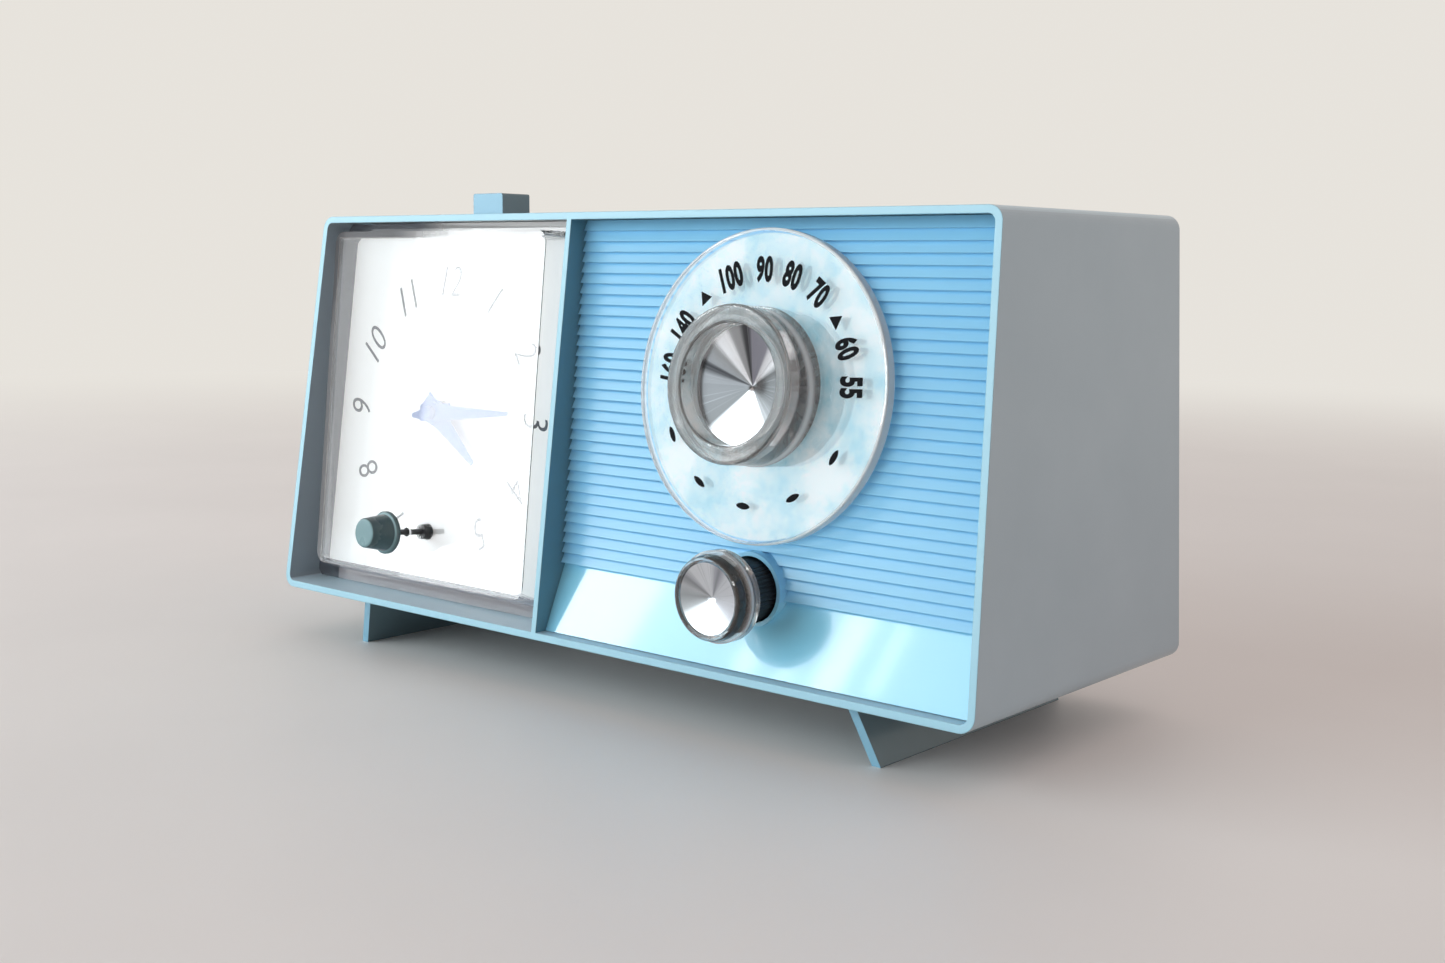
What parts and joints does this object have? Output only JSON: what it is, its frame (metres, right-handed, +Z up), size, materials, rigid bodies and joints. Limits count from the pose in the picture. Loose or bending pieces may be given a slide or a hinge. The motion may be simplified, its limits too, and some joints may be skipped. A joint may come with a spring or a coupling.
{
  "type": "clock radio",
  "caption": "Wedge-fronted moulded table clock radio on splayed feet, with a clear-fronted clock, ribbed grille, large turning dial, volume knob and snooze button.",
  "frame": {"origin": "on the surface the feet stand on, under the centre of the overall box", "axes": "+X to the right seen from the front, along the cabinet's width; +Y to the rear; +Z up"},
  "size_m": [0.2918, 0.1278, 0.1575],
  "materials": {
    "pale_plastic": "glossy moulded pale grey-blue polystyrene",
    "teal_plastic": "glossy moulded grey-teal polystyrene",
    "sky_plastic": "glossy moulded sky-blue polystyrene",
    "clear_plastic": "clear moulded acrylic",
    "dial_plastic": "clear acrylic with a pale painted back",
    "spun_aluminium": "spun and turned in fine rings",
    "plated_steel": "zinc-plated sheet and wire",
    "vane_aluminium": "plain sheet vanes",
    "black_plastic": "black, splined",
    "set_plastic": "dark turquoise moulded knob",
    "hand_paint": "blue painted sheet",
    "face_paint": "white painted sheet",
    "brass": "stamped and cut brass",
    "board": "brown phenolic sheet",
    "socket": "dark moulded phenolic",
    "tube_glass": "clear glass with dark getter",
    "dark_iron": "lacquered laminations and magnet",
    "cone_paper": "pressed black paper cone",
    "wound_wire": "lacquered copper wire, taped",
    "ferrite": "sintered ferrite",
    "bracket_nylon": "natural nylon",
    "rear_board": "matt moulded rear cover",
    "copper_can": "drawn copper can",
    "rubber": "black rubber"
  },
  "bodies": {
    "cabinet": {"cabinet_shell": "pale_plastic", "left_foot": "teal_plastic", "right_foot": "teal_plastic", "front_panel": "sky_plastic", "panel_screws": "plated_steel", "capacitor_frame": "plated_steel", "capacitor_stator": "vane_aluminium", "capacitor_screws": "plated_steel", "volume_control": "plated_steel", "speaker_basket": "plated_steel", "speaker_cone": "cone_paper", "speaker_magnet": "dark_iron", "circuit_board": "board", "board_screws": "plated_steel", "tube_sockets": "socket", "converter_tube": "tube_glass", "amplifier_tube": "tube_glass", "detector_tube": "tube_glass", "output_tube": "tube_glass", "rectifier_tube": "tube_glass", "first_if_can": "plated_steel", "second_if_can": "plated_steel", "filter_capacitor": "plated_steel", "transformer_core": "dark_iron", "transformer_coil": "wound_wire", "ferrite_rod": "ferrite", "antenna_coil": "wound_wire", "antenna_brackets": "bracket_nylon", "clock_crystal": "clear_plastic", "clock_face": "face_paint", "clock_screws": "plated_steel", "clock_plates": "brass", "motor_can": "copper_can", "motor_core": "dark_iron", "motor_coil": "wound_wire", "snooze_spring": "plated_steel", "snooze_bracket": "plated_steel", "rear_cover": "rear_board", "rear_screws": "plated_steel", "inlet_bushing": "rubber"},
    "tuning": {"dial_disc": "dial_plastic", "tuning_knob": "clear_plastic", "tuning_knob_insert": "spun_aluminium", "tuning_shaft": "plated_steel", "capacitor_rotor": "vane_aluminium"},
    "volume": {"volume_knob": "clear_plastic", "volume_knob_insert": "spun_aluminium", "volume_collar": "black_plastic", "volume_shaft": "plated_steel"},
    "minute": {"minute_arbor": "brass", "minute_hand": "hand_paint"},
    "hour": {"hour_wheel": "brass", "hour_hand": "hand_paint"},
    "motion": {"motion_wheel": "brass"},
    "setting": {"set_shaft": "black_plastic", "set_knob": "set_plastic"},
    "motor": {"motor_pinion": "brass"},
    "alarm": {"alarm_sleeve": "brass", "alarm_hand": "hand_paint"},
    "snooze": {"snooze_button": "teal_plastic"}
  },
  "joints": [
    {"name": "tuning_turn", "type": "hinge", "parent": "cabinet", "child": "tuning", "pos_m": [0.0653, -0.03452, 0.0993], "axis": [0, -0.995, 0.1], "range_deg": [-84, 90]},
    {"name": "volume_turn", "type": "hinge", "parent": "cabinet", "child": "volume", "pos_m": [0.0653, -0.04059, 0.0424], "axis": [0, 1, 0], "range_deg": [0, 300]},
    {"name": "minute_turn", "type": "hinge", "parent": "cabinet", "child": "minute", "pos_m": [-0.08, -0.03151, 0.0825], "axis": [0, 0.995, -0.1], "continuous": true},
    {"name": "hour_turn", "type": "hinge", "parent": "cabinet", "child": "hour", "pos_m": [-0.08, -0.03151, 0.0825], "axis": [0, 0.995, -0.1], "continuous": true},
    {"name": "motion_turn", "type": "hinge", "parent": "cabinet", "child": "motion", "pos_m": [-0.08149, -0.03294, 0.06825], "axis": [0, 0.995, -0.1], "continuous": true},
    {"name": "setting_turn", "type": "hinge", "parent": "cabinet", "child": "setting", "pos_m": [-0.0843, -0.03563, 0.04151], "axis": [0, 0.995, -0.1], "continuous": true},
    {"name": "motor_turn", "type": "hinge", "parent": "cabinet", "child": "motor", "pos_m": [-0.06329, -0.03034, 0.09414], "axis": [0, 0.995, -0.1], "continuous": true},
    {"name": "alarm_turn", "type": "hinge", "parent": "cabinet", "child": "alarm", "pos_m": [-0.08, -0.03151, 0.0825], "axis": [0, 0.995, -0.1], "continuous": true},
    {"name": "snooze_press", "type": "slide", "parent": "cabinet", "child": "snooze", "axis": [0, 0, -1], "range_m": [0, 0.004], "stiffness_N_per_m": 150, "springref_m": -0.006, "deforming": ["snooze_spring"]}
  ],
  "couplings": [
    {"joint": "hour_turn", "follows": "minute_turn", "ratio": 0.083333},
    {"joint": "motion_turn", "follows": "minute_turn", "ratio": -0.33333},
    {"joint": "setting_turn", "follows": "minute_turn", "ratio": 0.22222},
    {"joint": "motor_turn", "follows": "minute_turn", "ratio": -7.5}
  ]
}
